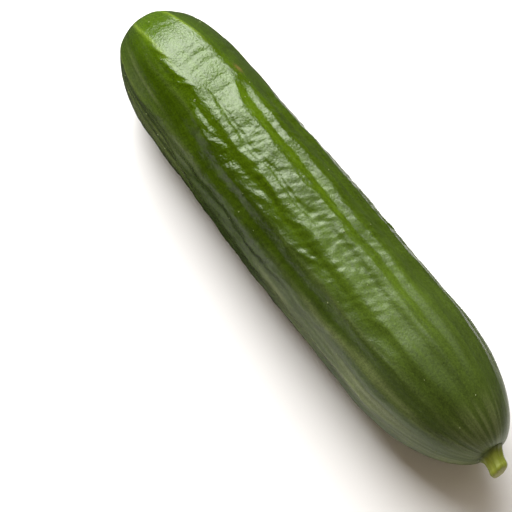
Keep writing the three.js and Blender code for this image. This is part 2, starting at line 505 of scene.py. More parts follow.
class FruitForm:
    """The fruit's surface as functions of along and angle, in millimetres and radians."""

    def __init__(self, shape):
        self.length = shape.length / MM
        self.radius = shape.radius / MM
        self.bow = shape.bow / MM

    def body_radius(self, along):
        """The radius without relief: both roundings times the slimming of the blossom half."""
        ends = end_rounding(along, BLOSSOM_END) * end_rounding(self.length - along, STEM_END)
        slim = np.maximum(0, 1 - along / (SLIMMING["start"] * self.length))
        return self.radius * ends * (1 - SLIMMING["share"] * slim ** SLIMMING["power"])

    def axis_shift(self, along):
        """A parabola for the bow, and a smaller one for the hook at the stem end."""
        from_middle = 2 * along / self.length - 1
        near_stem = np.clip(1 - (self.length - along) / STEM_HOOK["reach"], 0, 1)
        return self.bow * (1 - from_middle**2) + STEM_HOOK["shift"] * near_stem**2

    def axis_height(self, along):
        """The axis rises evenly towards the stem."""
        return AXIS_HEIGHT + AXIS_RISE * (along - self.length / 2)

    def ridge_track(self, index, along):
        """The angle of a ridge in radians: its own, its drift and its wandering sine.

        All ridges twist a little at the blossom end, and each side ridge starts beside the
        main ridge beyond it and bends away from it. One ridge swerves and comes back.
        """
        middle, _, drift = RIDGES[index]
        wave = FULL_TURN * along / WANDER["length"] + WANDER["step"] * index
        turned = drift * (along / self.length - 0.5) + WANDER["angle"] * np.sin(wave)
        turned = turned + TWIST["angle"] * np.clip(1 - along / TWIST["reach"], 0, 1) ** 2
        if index % 2 == 1:
            turned = turned + BRANCH["angle"] * smoothstep(along, BRANCH["to"], BRANCH["from"])
        if index == SWERVE["index"]:
            swerving = smoothstep(along, *SWERVE["rise"])
            swerving = swerving * (1 - smoothstep(along, *SWERVE["fall"]))
            turned = turned + SWERVE["angle"] * swerving
        return np.radians(middle + turned)

    def ridge_fade(self, kind, along):
        """1 along the middle, and a smooth fall to 0 at each end."""
        rise = smoothstep(along, *kind["blossom_fade"])
        return rise * smoothstep(self.length - along, *kind["stem_fade"])

    def ridges(self, along, angle):
        """A bell across each ridge, summed over all of them."""
        total = 0
        for index, (_, height, _) in enumerate(RIDGES):
            kind = MAIN_RIDGE if index % 2 == 0 else SIDE_RIDGE
            off = turn_between(angle, self.ridge_track(index, along))
            bell = np.exp(-((off / math.radians(kind["width"])) ** 2))
            total = total + height * self.ridge_fade(kind, along) * bell
        return total

    def swelling(self, along, angle):
        """Two slow waves that run round and along the fruit."""
        wave = FULL_TURN * along / SWELLING["length"]
        fade = smoothstep(np.minimum(along, self.length - along), *SWELLING["fade"])
        short = np.sin(wave + 3 * angle) * np.cos(0.6 * wave - 5 * angle)
        long = np.sin(0.47 * wave - 2 * angle + 1)
        return SWELLING["height"] * fade * (short + 0.6 * long)

    def end_shift(self, along, radius):
        """How far the skin is pushed along +X: bells over the distance from the axis."""
        scar = BLOSSOM_SCAR["depth"] * bell_of(radius, BLOSSOM_SCAR["radius"], 2)
        rim = STEM_RIM["rise"] * bell_of(radius, STEM_RIM["radius"], 4)
        dimple = STEM_DIMPLE["depth"] * bell_of(radius, STEM_DIMPLE["radius"], 2)
        return np.where(along < self.length / 2, scar, rim - dimple)

    def crests(self, along, angle):
        """1 on each side ridge's crest: a bell that falls off faster on the far side."""
        total = 0
        for index in range(1, len(RIDGES), 2):
            across = turn_between(angle, self.ridge_track(index, along))
            across = across * self.body_radius(along)
            reach = np.where(across < 0, CREST["near"], CREST["far"])
            total = total + bell_of(across / reach, 1, 2)
        return total * self.ridge_fade(SIDE_RIDGE, along)

    def grooves(self, along, angle, weights, half_width):
        """A bell halfway between each ridge and the next, times the weight of its groove.

        The narrow groove's place and width change along the fruit.
        """
        total = 0
        for index, weight in enumerate(weights):
            here = self.ridge_track(index, along)
            gap = turn_between(self.ridge_track((index + 1) % len(RIDGES), along), here)
            place, width = 0.5, half_width
            if index == NARROW_GROOVE["index"]:
                change = smoothstep(along, *NARROW_GROOVE["change"])
                place = between(NARROW_GROOVE["place"], change)
                width = half_width * between(NARROW_GROOVE["width"], change)
            off = turn_between(angle, here + place * gap)
            total = total + weight * bell_of(off, np.radians(width), 2)
        return total

    def stripes(self, along, angle):
        """1 on the main ridges at the blossom end, and 0 a little to each side."""
        total = 0
        for index in range(0, len(RIDGES), 2):
            off = turn_between(angle, self.ridge_track(index, along)) * self.body_radius(along)
            total = total + bell_of(off, STRIPE["half_width"], 2)
        return total * (1 - smoothstep(along, *STRIPE["fade"]))

    def stations(self, rings):
        """Places along the fruit at equal steps of its outline, both tips left out."""
        fine = self.length * (1 - np.cos(np.linspace(0, math.pi, FINE_STEPS))) / 2
        steps = np.hypot(np.diff(fine), np.diff(self.body_radius(fine)))
        travelled = np.concatenate([[0], np.cumsum(steps)])
        wanted = np.linspace(0, travelled[-1], rings + 1)[1:-1]
        return np.interp(wanted, travelled, fine), wanted

    def dimple_floor(self, radius):
        """How far along the dimple's floor lies, at a distance from the axis."""
        along = np.linspace(self.length - STEM_END["reach"], self.length, FINE_STEPS)
        low = np.interp(-radius, -self.body_radius(along), along)
        return low + self.end_shift(low, radius)

    def corky(self, along, angle):
        """How corky each place is: a bell on the scuff, and one round the blossom pole."""
        off = turn_between(angle, math.radians(SCUFF["angle"])) * self.body_radius(along)
        from_middle = along - SCUFF["along"]
        scuff = long_bell(from_middle, off, SCUFF["half_length"], SCUFF["half_width"], 0.0)
        pole = bell_of(self.body_radius(along), FLOWER_SCAR["radius"], FLOWER_SCAR["power"])
        return np.maximum(SCUFF["strength"] * scuff, pole * (along < self.length / 2))

    def wax_and_sheen_mask(self, along, angle):
        """A bell across each band of bloom and painted sheen, stronger towards both ends, and all
        round the stem.
        """
        bands = 0
        for middle, half_width, strength in WAX_AND_SHEEN_BANDS:
            off = turn_between(angle, math.radians(middle))
            bands = bands + strength * bell_of(off, math.radians(half_width), 2)
        blossom = BLOSSOM_WAX_AND_SHEEN["strength"] * smoothstep(along, *BLOSSOM_WAX_AND_SHEEN["rise"])
        blossom = blossom * smoothstep(along, *BLOSSOM_WAX_AND_SHEEN["fade"])
        grown = between((WAX_AND_SHEEN["least"], 1), smoothstep(along, *WAX_AND_SHEEN["grow"]))
        near_stem = smoothstep(self.length - along, *STEM_WAX_AND_SHEEN["rise"])
        return np.maximum(bands * (grown + blossom), STEM_WAX_AND_SHEEN["strength"] * near_stem)

    def painted_light_side(self, along, angle):
        """1 on the top and lit side, painted paler as painted light, with a soft edge on each
        hand, less near the stem.
        """
        turned = turn_between(angle, 0)
        rise = smoothstep(turned, *np.radians(PAINTED_LIGHT_SIDE["rise"]))
        fall = 1 - PAINTED_LIGHT_SIDE["loss"] * smoothstep(turned, *np.radians(PAINTED_LIGHT_SIDE["fall"]))
        back = smoothstep(turned, *np.radians(PAINTED_LIGHT_SIDE["back"]))
        near_stem = 1 - PAINTED_LIGHT_SIDE["loss"] * smoothstep(along, *PAINTED_LIGHT_SIDE["near_stem"])
        return rise * fall * back * near_stem

    def place(self, along, angle, relief):
        """Points of the skin, raised by the relief and never below the floor."""
        body = self.body_radius(along)
        radius = body + relief * np.minimum(1, body / FULL_RELIEF_RADIUS)
        x = along + self.end_shift(along, body)
        y = self.axis_shift(along) + radius * np.sin(angle)
        z = np.maximum(0, self.axis_height(along) + radius * np.cos(angle))
        return np.stack(np.broadcast_arrays(x, y, z), axis=-1)


def turn_between(a, b):
    """The angle between two directions, from -pi to pi."""
    return (a - b + math.pi) % FULL_TURN - math.pi


def bell_of(x, reach, power):
    """exp(-(x / reach)^power)."""
    return np.exp(-(np.abs(x / reach) ** power))


def soft_noise(rng, shape, spacing, reach, slant=0.0):
    """White noise on a grid, blurred by a bell and scaled to a spread of 1.

    The bell reaches so many millimetres along and round the fruit, and is turned by the
    slant. The blur is a product with the bell's own spectrum.
    """
    along = np.fft.fftfreq(shape[0], spacing[0])[:, None]
    around = np.fft.rfftfreq(shape[1], spacing[1])[None, :]
    turned_along = along * math.cos(slant) + around * math.sin(slant)
    turned_around = around * math.cos(slant) - along * math.sin(slant)
    exponent = (reach[0] * turned_along) ** 2 + (reach[1] * turned_around) ** 2
    spectrum = np.fft.rfft2(rng.standard_normal(shape)) * np.exp(-2 * math.pi**2 * exponent)
    noise = np.fft.irfft2(spectrum, s=shape)
    return (noise - noise.mean()) / noise.std()


def crinkles(rng, grid, spacing, along):
    """Fine crinkles in patches, weak at the blossom end and gone near the stem."""
    patches = np.tanh(PATCHES["contrast"] * soft_noise(rng, grid, spacing, PATCHES["reach"]))
    creases = soft_noise(rng, grid, spacing, CREASES["reach"], CREASES["slant"])
    edges = np.abs(soft_noise(rng, grid, spacing, EDGES["reach"], EDGES["slant"]))
    stronger = CRINKLES["gain"] * smoothstep(along, *CRINKLES["strengthen"])
    fade = smoothstep(along, *CRINKLES["rise"]) * (1 - smoothstep(along, *CRINKLES["fall"]))
    fade = fade * (CRINKLES["weak"] + stronger) * between((PATCHES["least"], 1), (1 + patches) / 2)
    return fade * (CREASES["weight"] * creases - EDGES["weight"] * edges)


def fine_relief(shape, form, along, angle, travelled):
    """Wrinkles across the skin, slanting folds and thin lines along it, and the streaks of its
    bloom and painted sheen.

    Folds, crests, dents and stripes are worked out on skin that soft noise shifts to and fro.
    """
    rng = np.random.default_rng(shape.seed)
    grid = (along.shape[0], angle.shape[1])
    spacing = (travelled[1] - travelled[0], FULL_TURN * form.radius / grid[1])
    ragged = RAGGED["shift"] * soft_noise(rng, grid, spacing, RAGGED["reach"])
    bent = angle + ragged / np.maximum(form.body_radius(along), FULL_RELIEF_RADIUS)
    moved = along + RAGGED["shift"] * soft_noise(rng, grid, spacing, RAGGED["reach"])
    waver = math.radians(WAX_AND_SHEEN["waver"]) * soft_noise(rng, grid, spacing, WAX_AND_SHEEN["reach"])
    wax_and_sheen_mask = form.wax_and_sheen_mask(along, bent + waver)
    wrinkles = crinkles(rng, grid, spacing, along)
    threads = soft_noise(rng, grid, spacing, THREADS["reach"])
    lines = (THREADS["least"] + wax_and_sheen_mask) * smoothstep(along, *THREADS["rise"]) * threads
    hollows = form.grooves(along, bent, GROOVE_DEPTHS, GROOVE_REACH["deep"])
    relief = (
        shape.crinkle / MM * wrinkles
        + shape.fold / MM * (folds(rng, form, moved, bent) - FOLDS["mean"])
        - shape.groove / MM * hollows * form.ridge_fade(SIDE_RIDGE, along)
        + shape.crest / MM * form.crests(along, bent)
        - shape.dent / MM * dents(rng, form, moved, bent)
        + shape.thread / MM * lines
        + STRIPE["height"] * form.stripes(along, bent)
    )
    streaks_there = smoothstep(threads, WAX_AND_SHEEN_STREAKS["from"], WAX_AND_SHEEN_STREAKS["to"])
    return relief, wax_and_sheen_mask * (WAX_AND_SHEEN_STREAKS["least"] + WAX_AND_SHEEN_STREAKS["gain"] * streaks_there)


def long_bell(along, across, half_length, half_width, slant):
    """A bell that is longer than it is wide, turned by the slant from along to across."""
    length = along * math.cos(slant) + across * math.sin(slant)
    width = across * math.cos(slant) - along * math.sin(slant)
    return np.exp(-((length / half_length) ** 2) - (width / half_width) ** 2)


def folds(rng, form, along, angle):
    """Rows of slanting bells that follow the ridges, with drawn places, sizes and heights."""
    total = 0
    starts = np.arange(FOLDS["first"], FOLDS["last"], FOLDS["step"])
    for index in range(len(RIDGES)):
        offset = FOLD_OFFSET["main" if index % 2 == 0 else "side"]
        across = turn_between(angle, form.ridge_track(index, along)) * form.body_radius(along)
        calm = CALM_SIDE["share"] if index in CALM_SIDE["ridges"] else 1
        for place in starts + rng.uniform(0, FOLDS["step"]):
            height, size = rng.uniform(*FOLDS["heights"]), rng.uniform(*FOLDS["lengths"])
            lower = FOLD_FADE["loss"] * smoothstep(place, FOLD_FADE["from"], FOLD_FADE["to"])
            from_place = along - place - rng.normal(0, FOLDS["stray_along"])
            from_ridge = across - offset - rng.normal(0, FOLDS["stray_across"])
            width = FOLDS["half_width"] * rng.uniform(*FOLDS["widths"])
            slant = FOLDS["slant"] + rng.normal(0, FOLDS["stray_turn"])
            total = total + height * (1 - lower) * calm * long_bell(
                from_place, from_ridge, size * FOLDS["half_length"], width, slant
            )
    return total


def dents(rng, form, along, angle):
    """Narrow bells across the panels between main ridges, most of them at drawn places."""
    total = 0
    for index in range(0, len(RIDGES), 2):
        middle = (form.ridge_track(index, along) + form.ridge_track(index + 1, along)) / 2
        across = turn_between(angle, middle) * form.body_radius(along) - DENTS["from_middle"]
        places = rng.uniform(DENTS["first"], DENTS["last"], DENTS["count"])
        if index == FRONT_PANEL:
            places = FRONT_DENTS
        for place in places:
            depth = rng.uniform(*DENTS["depths"])
            slant = math.pi / 2 + rng.normal(0, DENTS["stray_turn"])
            bend = rng.normal(0, DENTS["stray_bend"]) * across**2
            total = total + depth * long_bell(
                along - place - bend, across, DENTS["half_length"], DENTS["half_width"], slant
            )
    return total


def stem_outline(count):
    """The stem's rings at equal steps of its outline: distance beyond the rim, and radius.

    The first ring is the root's sunken edge, and the outline is a smooth curve through the
    points of the stem's outline.
    """
    points = np.array(STEM_OUTLINE)
    steps = np.hypot(*np.diff(points, axis=0).T)
    travelled = np.concatenate([[0], np.cumsum(steps)])
    wanted = np.linspace(0, travelled[-1], count)
    out = smooth_through(travelled, points[:, 0], wanted)
    return out, smooth_through(travelled, points[:, 1], wanted)


def smooth_through(x, y, wanted):
    """A cubic through the points, with each slope the mean of its two neighbours' slopes."""
    slopes = np.gradient(y, x)
    index = np.clip(np.searchsorted(x, wanted, side="right") - 1, 0, len(x) - 2)
    width = x[index + 1] - x[index]
    t = (wanted - x[index]) / width
    start = y[index] * (1 + 2 * t) * (1 - t) ** 2 + y[index + 1] * t * t * (3 - 2 * t)
    turn = slopes[index] * t * (1 - t) ** 2 - slopes[index + 1] * t * t * (1 - t)
    return start + width * turn


def stem_surface(shape, out, radius, angle):
    """The stem's rings and its two end points, with ribs that fade in from the root.

    A ring's radius is multiplied by 1 + share * cos(count * angle), and its middle leans
    away from the axis in step with its distance from the rim. Noise stretched along the stem
    raises its fibres.
    """
    rng = np.random.default_rng(shape.seed)
    spacing = (np.ptp(out) / len(out), FULL_TURN * radius.max() / angle.shape[1])
    grid = (len(out), angle.shape[1])
    fibres = STEM_FIBRES["height"] * soft_noise(rng, grid, spacing, STEM_FIBRES["reach"])
    form = FruitForm(shape)
    rim = form.dimple_floor(STEM_ROOT_RADIUS) + STEM_GAP

    def place(out, radius, fibres):
        grown = STEM_RIBS["share"] * smoothstep(out, 0, STEM_RIBS["fade"])
        ribs = 1 + grown * np.cos(STEM_RIBS["count"] * angle)
        x = rim + out
        y = form.axis_shift(form.length) - STEM_LEAN * np.maximum(0, out)
        y = y + (radius * ribs + fibres) * np.sin(angle)
        z = form.axis_height(form.length) + (radius * ribs + fibres) * np.cos(angle)
        return np.stack(np.broadcast_arrays(x, y, z), axis=-1)

    rings = place(out, radius, fibres)
    tips = [place(np.array(end), np.array(0.0), 0)[0, 0] for end in (out[0, 0], STEM_TIP)]
    return rings, tips


def closed_mesh(name, first, rings, last):
    """A mesh over a grid of ring points, closed by one point at each end.

    Faces join each point to the next one round its ring and to the same place on the next
    ring, so they point outwards where the rings turn from +Z to +Y.
    """
    count, sides = rings.shape[:2]
    ids = 1 + np.arange(count * sides).reshape(count, sides)
    after = np.roll(ids, -1, axis=1)
    end = 1 + count * sides
    quads = np.stack([ids[:-1], ids[1:], after[1:], after[:-1]], axis=-1).reshape(-1, 4)
    start_fan = np.stack([np.zeros(sides, int), ids[0], after[0]], axis=-1)
    end_fan = np.stack([ids[-1], np.full(sides, end), after[-1]], axis=-1)
    points = np.concatenate([first[None], rings.reshape(-1, 3), last[None]]) * MM
    mesh = bpy.data.meshes.new(name)
    mesh.from_pydata(points, [], quads.tolist() + start_fan.tolist() + end_fan.tolist())
    mesh.shade_smooth()
    return mesh


def new_piece(name, mesh, material, replaced=None):
    """A finished piece at the origin, which rides on the body and takes the slot's finish."""
    piece = bpy.data.objects.new(name, mesh)
    bpy.context.scene.collection.objects.link(piece)
    mesh.materials.append(material)
    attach(piece, BODY)
    if replaced:
        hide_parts(replaced)
    return piece


def set_numbers(mesh, name, values):
    """A number for every point of the mesh, for the materials to read."""
    layer = mesh.attributes.new(name, "FLOAT", "POINT")
    layer.data.foreach_set("value", np.asarray(values, np.float32).ravel())


def set_vectors(mesh, name, values):
    """A vector for every point of the mesh, for the materials to read."""
    layer = mesh.attributes.new(name, "FLOAT_VECTOR", "POINT")
    layer.data.foreach_set("vector", np.asarray(values, np.float32).ravel())


def with_ends(values):
    """Ring values with the first ring's mean before them and the last ring's mean after."""
    return np.concatenate([[values[0].mean()], values.ravel(), [values[-1].mean()]])


def grown_places(start, lengths, radius, angle):
    """Where the skin grew, in metres, as if the piece were straight and smooth.

    X is the length, from the start, and Y and Z are the radius times the angle's sine and
    cosine. The first and last places are the end points.
    """
    rings = np.broadcast_arrays(lengths[:, None], radius * np.sin(angle), radius * np.cos(angle))
    first, last = np.array([[start, 0, 0]]), np.array([[lengths[-1], 0, 0]])
    return np.concatenate([first, np.stack(rings, axis=-1).reshape(-1, 3), last]) * MM


def frame_offset(points, node, end):
    """The move that puts the points where the node is: one end in X, and the middle in Y."""
    wanted = np.array(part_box(node)) / MM
    own = np.array([points.min(axis=(0, 1)), points.max(axis=(0, 1))])
    offset = wanted - own
    return np.array([offset[end, 0], offset[:, 1].mean(), 0])


def inside_the_box(points):
    """The points, none of them outside the solid part's box."""
    low, high = (np.array(corner) / MM for corner in CAD_BOX)
    return np.clip(points, low, high)


class Wiring:
    """A small helper that adds nodes to a node tree and links them."""

    def __init__(self, tree):
        self.tree = tree

    def add(self, kind, inputs=None, **settings):
        """A node with its settings. Each input is a value, or the socket that feeds it."""
        node = self.tree.nodes.new(kind)
        for name, value in settings.items():
            setattr(node, name, value)
        for name, value in (inputs or {}).items():
            self.feed(node.inputs[name], value)
        return node

    def feed(self, socket, value):
        """Links an output socket, or sets a plain value."""
        if isinstance(value, bpy.types.NodeSocket):
            self.tree.links.new(value, socket)
        else:
            socket.default_value = value

    def math(self, operation, *values):
        """The result of a Math node."""
        node = self.add("ShaderNodeMath", dict(enumerate(values)), operation=operation)
        return node.outputs[0]

    def product(self, value, *others):
        """All the values multiplied together."""
        for other in others:
            value = self.math("MULTIPLY", value, other)
        return value

    def scaled(self, value, gain, start):
        """The start, plus the value times the gain."""
        return self.math("MULTIPLY_ADD", value, gain, start)

    def ramp(self, value, low, high):
        """0 at low, 1 at high and smooth between."""
        node = self.add(
            "ShaderNodeMapRange",
            {"Value": value, "From Min": low, "From Max": high},
            interpolation_type="SMOOTHSTEP",
        )
        return node.outputs["Result"]

    def mix(self, factor, a, b, blend="MIX"):
        """Colour a where the factor is 0, and where it is 1 colour b, or a blended with b."""
        inputs = {0: factor, 6: a, 7: b}
        node = self.add("ShaderNodeMix", inputs, data_type="RGBA", blend_type=blend)
        return node.outputs[2]

    def noise(self, vector, scale, detail):
        """Soft noise round 0.5, of so many patches in a metre."""
        inputs = {"Vector": vector, "Scale": scale, "Detail": detail}
        return self.add("ShaderNodeTexNoise", inputs).outputs["Fac"]

    def bump(self, height, strength, distance):
        """A normal that the height bends, by the distance in metres where the height is 1."""
        inputs = {"Strength": strength, "Distance": distance, "Height": height}
        return self.add("ShaderNodeBump", inputs).outputs["Normal"]

    def number(self, name):
        """One of the piece's own numbers."""
        node = self.add("ShaderNodeAttribute", attribute_name=name)
        return node.outputs["Fac"]

    def vector(self, name):
        """One of the piece's own vectors."""
        node = self.add("ShaderNodeAttribute", attribute_name=name)
        return node.outputs["Vector"]


def rgba(colour):
    """A colour setting as four numbers."""
    return (*colour, 1.0)


def streak_group():
    """A node group: noise that runs in streaks along the vector's X, from 0 to 1."""
    name = "Streaks"
    if name in bpy.data.node_groups:
        return bpy.data.node_groups[name]
    tree = bpy.data.node_groups.new(name, "ShaderNodeTree")
    sockets = tree.interface
    sockets.new_socket("Vector", in_out="INPUT", socket_type="NodeSocketVector")
    sockets.new_socket("Stretch", in_out="INPUT", socket_type="NodeSocketFloat")
    sockets.new_socket("Scale", in_out="INPUT", socket_type="NodeSocketFloat")
    sockets.new_socket("Value", in_out="OUTPUT", socket_type="NodeSocketFloat")
    wiring = Wiring(tree)
    given = wiring.add("NodeGroupInput").outputs
    squeeze = wiring.add("ShaderNodeCombineXYZ", {"X": given["Stretch"], "Y": 1.0, "Z": 1.0})
    squeezed = wiring.add(
        "ShaderNodeVectorMath", {0: given["Vector"], 1: squeeze.outputs[0]}, operation="MULTIPLY"
    )
    noise = wiring.noise(squeezed.outputs[0], given["Scale"], STREAKS["detail"])
    spread = wiring.add(
        "ShaderNodeMapRange",
        {"Value": noise, "From Min": STREAKS["low"], "From Max": STREAKS["high"]},
    )
    wiring.add("NodeGroupOutput", {"Value": spread.outputs["Result"]})
    return tree


def streaks(wiring, vector, stretch, scale):
    """The value of the streak group, placed in a material with its own sizes."""
    node = wiring.add("ShaderNodeGroup", node_tree=streak_group())
    wiring.feed(node.inputs["Vector"], vector)
    node.inputs["Stretch"].default_value = stretch
    node.inputs["Scale"].default_value = scale
    return node.outputs["Value"]


def new_material(name):
    """A material with one Principled BSDF, and the wiring of its tree."""
    material = bpy.data.materials.new(name)
    material.use_nodes = True
    shader = material.node_tree.nodes["Principled BSDF"]
    return material, shader, Wiring(material.node_tree)


def skin_green(wiring, colours, grown, blotches):
    """The skin's colour: its greens along the fruit, then grooves, stripes, bloom with painted
    sheen, and cork.
    """
    share = wiring.number("share")
    middle, stem = (wiring.ramp(share, *GREENS[name]) for name in ("middle", "stem"))
    green = wiring.mix(middle, rgba(colours.blossom_skin), rgba(colours.middle_skin))
    green = wiring.mix(stem, green, rgba(colours.stem_skin))

    least = MARKS["even"]
    uneven = wiring.scaled(streaks(wiring, grown, *COARSE_STREAKS), 1 - least, least)
    patchy = wiring.scaled(wiring.ramp(blotches, *GROOVE_BLOTCHES), 1 - least, least)
    fade = wiring.product(wiring.ramp(share, *GROOVE_RISE), wiring.ramp(share, *GROOVE_FALL))
    groove = wiring.product(wiring.number("groove"), fade, uneven, patchy, MARKS["groove"])
    green = wiring.mix(groove, green, rgba(colours.pale_groove))

    stripe = wiring.product(wiring.number("stripe"), MARKS["stripe"])
    green = wiring.mix(stripe, green, rgba(colours.stripe))
    # Pale bands, partly waxy bloom and partly painted sheen: a painted reflection of the floor.
    wax_and_sheen = wiring.product(wiring.number("wax_and_sheen"), MARKS["wax_and_sheen"])
    green = wiring.mix(wax_and_sheen, green, rgba(colours.wax_and_sheen))
    rust = wiring.product(wiring.number("cork"), wiring.ramp(blotches, *CORK_BLOTCHES))
    return wiring.mix(rust, green, rgba(colours.scar))


def skin_tone(wiring, grown, blotches):
    """How bright the skin is from place to place: a level plus its noises, and painted light on
    the lit side.
    """
    noises = {
        "streaks": streaks(wiring, grown, *FINE_STREAKS),
        "blotches": blotches,
        "speckle": wiring.noise(grown, *SPECKLE),
        "grain": wiring.noise(grown, *GRAIN),
    }
    tone = TONE["level"]
    for name, noise in noises.items():
        tone = wiring.scaled(noise, TONE[name], tone)
    # Painted light: the skin's tone is raised on the top and the side that the soft light faces.
    return wiring.product(tone, wiring.scaled(wiring.number("pale"), PAINTED_LIGHT_SIDE["gain"], 1.0))


def skin_material(colours):
    """Waxy green skin: pale grooves, stripes at the blossom end and streaks along it."""
    material, shader, wiring = new_material("cucumber_skin")
    grown = wiring.vector("grown")
    blotches = wiring.noise(grown, *BLOTCHES)
    tone = skin_tone(wiring, grown, blotches)
    grey = wiring.add("ShaderNodeCombineColor", {"Red": tone, "Green": tone, "Blue": tone})
    green = skin_green(wiring, colours, grown, blotches)
    toned = wiring.mix(1.0, green, grey.outputs[0], blend="MULTIPLY")
    wiring.feed(shader.inputs["Base Color"], toned)

    share = wiring.number("share")
    rougher = wiring.ramp(share, *ROUGHNESS["change"])
    rough = wiring.scaled(rougher, ROUGHNESS["gain"], ROUGHNESS["blossom"])
    rough = wiring.scaled(blotches, ROUGHNESS["blotches"], rough)
    wiring.feed(shader.inputs["Roughness"], rough)
    shader.inputs["IOR"].default_value = SKIN_IOR
    shader.inputs["Specular Tint"].default_value = SKIN_TINT

    shallower = wiring.ramp(share, *PORE_DEPTH["change"])
    depth = wiring.scaled(shallower, PORE_DEPTH["gain"], PORE_DEPTH["blossom"])
    pores = wiring.product(wiring.noise(grown, *PORES), depth)
    wiring.feed(shader.inputs["Normal"], wiring.bump(pores, 1.0, PORE_DEPTH["distance"]))
    return material


def stalk_material(colours):
    """Dull yellow-green stalk with pale fibre lines, dark at its root and dry at the cut."""
    material, shader, wiring = new_material("cucumber_stalk")
    grown, out = wiring.vector("grown"), wiring.number("out")
    fibres = streaks(wiring, grown, *STALK_FIBRES)
    flecks = streaks(wiring, grown, *STALK_FLECKS)
    green = wiring.mix(fibres, rgba(colours.stalk), rgba(colours.stalk_light))
    green = wiring.mix(wiring.ramp(out, *STALK_ROOT), rgba(colours.stem_skin), green)
    dry = wiring.product(wiring.ramp(out, *STALK_CUT), flecks)
    wiring.feed(shader.inputs["Base Color"], wiring.mix(dry, green, rgba(colours.cut)))
    wiring.feed(shader.inputs["Roughness"], wiring.scaled(flecks, DULL["gain"], DULL["least"]))
    bent = wiring.bump(fibres, STALK_BUMP["strength"], STALK_BUMP["distance"])
    wiring.feed(shader.inputs["Normal"], bent)
    return material


def scar_material(colours):
    """Dry, corky dots."""
    material, shader, wiring = new_material("cucumber_scars")
    place = wiring.add("ShaderNodeTexCoord").outputs["Object"]
    grain = wiring.noise(place, *CORK_GRAIN)
    cork = wiring.mix(grain, rgba(colours.stripe), rgba(colours.spine_scar))
    wiring.feed(shader.inputs["Base Color"], cork)
    wiring.feed(shader.inputs["Roughness"], wiring.scaled(grain, DULL["gain"], DULL["least"]))
    return material


def floor_material(colours):
    """Matt white paper, which the skin's reflections show painted nearly black on the far side:
    painted shade in reflections.

    A strip of the paper just behind the fruit is left bright in them, so that the skin mirrors a
    thin bright line.
    """
    material, shader, wiring = new_material("studio_floor")
    place = wiring.add("ShaderNodeTexCoord").outputs["Object"]
    darker = rgba([PAPER["darker"] * value for value in colours.floor])
    shade = wiring.mix(wiring.noise(place, *PAPER["noise"]), rgba(colours.floor), darker)
    towards = wiring.add(
        "ShaderNodeVectorMath", {0: place, 1: REFLECTION_SHADE_DIRECTION}, operation="DOT_PRODUCT"
    ).outputs["Value"]
    glossy = wiring.add("ShaderNodeLightPath").outputs["Is Glossy Ray"]
    parts = wiring.add("ShaderNodeSeparateXYZ", {"Vector": place}).outputs
    strip = wiring.product(
        wiring.ramp(parts["Y"], *STRIP_START),
        wiring.ramp(parts["Y"], *STRIP_END),
        wiring.ramp(parts["X"], *STRIP_FROM),
    )
    beside = wiring.math("SUBTRACT", 1.0, strip)
    # Painted shade: glossy rays see the paper nearly black here, except in the strip.
    dim = wiring.product(glossy, wiring.ramp(towards, *REFLECTION_SHADE_EDGE), beside)
    reflection_shade = rgba([REFLECTION_SHADE_SHARE * value for value in colours.floor])
    wiring.feed(shader.inputs["Base Color"], wiring.mix(dim, shade, reflection_shade))
    shader.inputs["Roughness"].default_value = PAPER["roughness"]
    return material


def light_the_room(world, studio):
    """A room that the camera sees white, and that the skin mirrors as nearly dark."""
    world.use_nodes = True
    wiring = Wiring(world.node_tree)
    path = wiring.add("ShaderNodeLightPath").outputs
    plain = 1 - studio.fill
    dark = studio.dark_room - studio.fill
    strength = wiring.scaled(path["Is Camera Ray"], plain, studio.fill)
    strength = wiring.scaled(path["Is Glossy Ray"], dark, strength)
    background = world.node_tree.nodes["Background"]
    colour = wiring.mix(path["Is Camera Ray"], rgba(ROOM_COLOUR), rgba((1, 1, 1)))
    wiring.feed(background.inputs["Color"], colour)
    wiring.feed(background.inputs["Strength"], strength)


def fade_light(light):
    """The soft light is brightest over the blossom end and fades towards the stem."""
    light.use_nodes = True
    wiring = Wiring(light.node_tree)
    place = wiring.add("ShaderNodeNewGeometry").outputs["Parametric"]
    across = wiring.add("ShaderNodeSeparateXYZ", {"Vector": place}).outputs["X"]
    emission = light.node_tree.nodes["Emission"]
    fade = wiring.scaled(wiring.ramp(across, *KEY_FADE), -KEY_FALL, 1.0)
    fade = wiring.product(fade, wiring.ramp(across, *KEY_START))
    wiring.feed(emission.inputs["Strength"], fade)


def fruit_surface(shape):
    """The fruit's form, and on its grid of rings the skin's places, bloom with painted sheen, and
    points.

    The offset moves the form's points to where the solid part's fruit is.
    """
    form = FruitForm(shape)
    stations, travelled = form.stations(shape.rings)
    along = stations[:, None]
    angle = np.linspace(0, FULL_TURN, shape.sides, endpoint=False)[None, :]
    relief, wax_and_sheen = fine_relief(shape, form, along, angle, travelled)
    relief = relief + form.ridges(along, angle) + form.swelling(along, angle)
    points = form.place(along, angle, relief)
    offset = frame_offset(points, "fruit", 0)
    rings = inside_the_box(points + offset)
    return SimpleNamespace(
        form=form,
        along=along,
        angle=angle,
        travelled=travelled,
        wax_and_sheen=wax_and_sheen,
        rings=rings,
        offset=offset,
    )


def scar_places(rng, shape, form):
    """Along and angle of every spine scar: the known ones, and the drawn ones near ridges."""
    ridges = rng.integers(0, len(RIDGES), shape.scars)
    margin = SPINE_SCARS["from_ends"]
    along = rng.uniform(margin, form.length - margin, shape.scars)
    angle = np.array(RIDGES)[ridges, 0] + rng.normal(0, SPINE_SCARS["stray"], shape.scars)
    return np.concatenate([np.array(KNOWN_SCARS), np.stack([along, angle], axis=1)])


